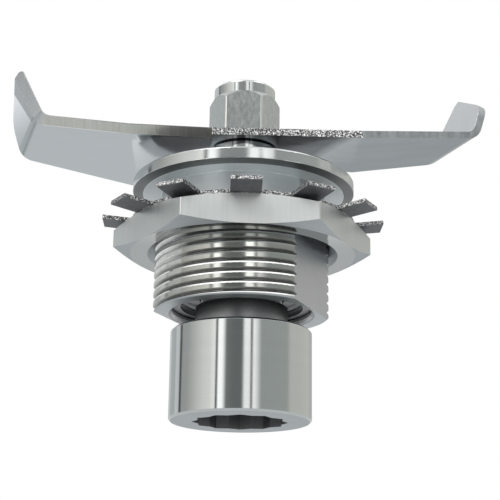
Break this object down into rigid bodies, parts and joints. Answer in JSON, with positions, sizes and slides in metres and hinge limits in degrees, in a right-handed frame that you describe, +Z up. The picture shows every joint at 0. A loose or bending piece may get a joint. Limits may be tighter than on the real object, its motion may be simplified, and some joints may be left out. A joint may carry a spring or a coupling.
{
  "type": "blender blade assembly",
  "caption": "Stainless blender blade assembly: a two-wing blade with turned-up tips on a bearing holder, with its ring nut, tab washer and drive socket.",
  "frame": {"origin": "on the spindle axis, in the drive socket's bottom face", "axes": "+Z up along the spindle towards the cap nut, +X along the blade's wings, +Y the leading side of the wing on +X"},
  "size_m": [0.0998, 0.0578, 0.0718],
  "materials": {
    "turned_steel": "turned stainless, satin with fine turning rings",
    "nut_steel": "milled stainless flats with faint vertical marks",
    "washer_steel": "stamped stainless with grainy sheared edges",
    "blade_steel": "satin stainless sheet with ground bevels",
    "polished_steel": "polished stainless",
    "socket_steel": "polished turned stainless",
    "spindle_steel": "ground stainless",
    "bearing_steel": "ground bearing steel",
    "pressed_steel": "pressed sheet steel",
    "spring_steel": "dark oiled spring steel",
    "seal_rubber": "black nitrile rubber"
  },
  "bodies": {
    "holder": {"holder": "turned_steel", "lower_bearing_outer_ring": "bearing_steel", "upper_bearing_outer_ring": "bearing_steel", "lower_bearing_shields": "pressed_steel", "upper_bearing_shields": "pressed_steel", "bearing_outer_spacer": "bearing_steel", "retaining_ring": "spring_steel", "seal_case": "pressed_steel", "seal_lip": "seal_rubber", "seal_spring": "spring_steel"},
    "rotor": {"spindle": "spindle_steel", "blade_spacer": "polished_steel", "blade": "blade_steel", "cap_nut": "polished_steel", "drive_socket": "socket_steel", "lower_bearing_inner_ring": "bearing_steel", "upper_bearing_inner_ring": "bearing_steel", "bearing_inner_spacer": "bearing_steel"},
    "lower_ball_train": {"lower_bearing_cage": "pressed_steel", "lower_bearing_balls": "bearing_steel"},
    "upper_ball_train": {"upper_bearing_cage": "pressed_steel", "upper_bearing_balls": "bearing_steel"},
    "washer": {"tab_washer": "washer_steel"},
    "nut": {"ring_nut": "nut_steel"}
  },
  "joints": [
    {"name": "spindle_spin", "type": "hinge", "parent": "holder", "child": "rotor", "pos_m": [0, 0, 0.034], "axis": [0, 0, 1], "continuous": true},
    {"name": "lower_ball_spin", "type": "hinge", "parent": "holder", "child": "lower_ball_train", "pos_m": [0, 0, 0.0285], "axis": [0, 0, 1], "continuous": true},
    {"name": "upper_ball_spin", "type": "hinge", "parent": "holder", "child": "upper_ball_train", "pos_m": [0, 0, 0.039], "axis": [0, 0, 1], "continuous": true},
    {"name": "washer_slide", "type": "slide", "parent": "holder", "child": "washer", "axis": [0, 0, 1], "range_m": [-0.0115, 0.0055]},
    {"name": "nut_turn", "type": "hinge", "parent": "washer", "child": "nut", "pos_m": [0, 0, 0.0371], "axis": [0, 0, 1], "range_deg": [-2070, 990]}
  ],
  "couplings": [
    {"joint": "lower_ball_spin", "follows": "spindle_spin", "ratio": 0.381},
    {"joint": "upper_ball_spin", "follows": "spindle_spin", "ratio": 0.381},
    {"joint": "washer_slide", "follows": "nut_turn", "m_per_rad": 0.00031831}
  ]
}
